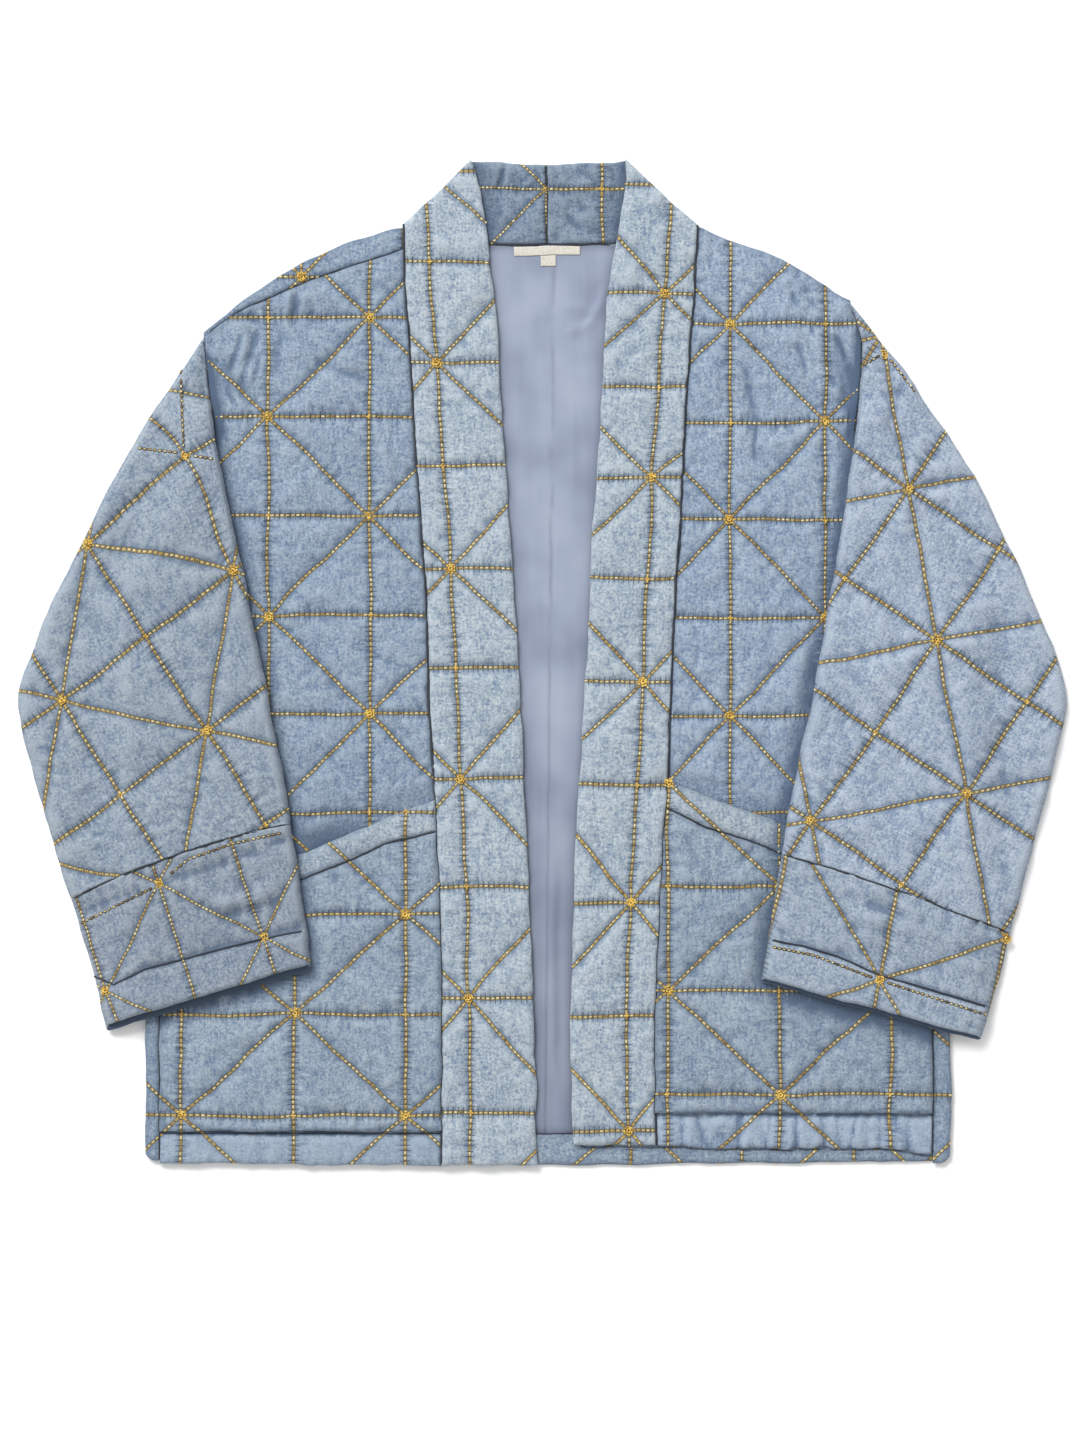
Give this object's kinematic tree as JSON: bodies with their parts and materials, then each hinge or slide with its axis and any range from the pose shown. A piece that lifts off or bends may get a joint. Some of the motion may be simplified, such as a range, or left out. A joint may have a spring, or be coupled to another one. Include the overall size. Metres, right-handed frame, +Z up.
{
  "type": "quilted kimono coat",
  "caption": "Hip-length quilted denim kimono coat laid flat and open, with wide straight sleeves, turned cuffs, a long front band and patch pockets.",
  "frame": {"origin": "centre of the bounding box at the surface that the coat lies on", "axes": "+X to the right of the coat seen from above, along its longest extent; +Y towards the collar; +Z up from the surface, along its shortest extent"},
  "size_m": [0.7884, 0.7543, 0.0191],
  "materials": {
    "denim_body": "washed mid-blue quilted denim, matt, with gold and cream running stitches",
    "denim_trim": "the same denim, paler, on the bands, cuffs and pocket facings",
    "lining_cotton": "smooth lavender-blue cotton lining with a soft sheen",
    "label_tape": "bare cream woven tape"
  },
  "bodies": {
    "root": {"back": "denim_body", "back_side_left": "denim_body", "back_side_right": "denim_body", "back_shoulder_left": "denim_body", "back_hem_facing": "denim_body", "front_left": "denim_body", "front_right": "denim_body", "pocket_left": "denim_body", "pocket_right": "denim_body", "collar_left": "denim_body", "collar_right": "denim_body", "sleeve_left": "denim_body", "sleeve_right": "denim_body", "band_left": "denim_trim", "band_right": "denim_trim", "pocket_facing_left": "denim_trim", "pocket_facing_right": "denim_trim", "cuff_left": "denim_trim", "cuff_right": "denim_trim", "lining_back": "lining_cotton", "neck_label": "label_tape", "size_tab": "label_tape"}
  },
  "joints": []
}
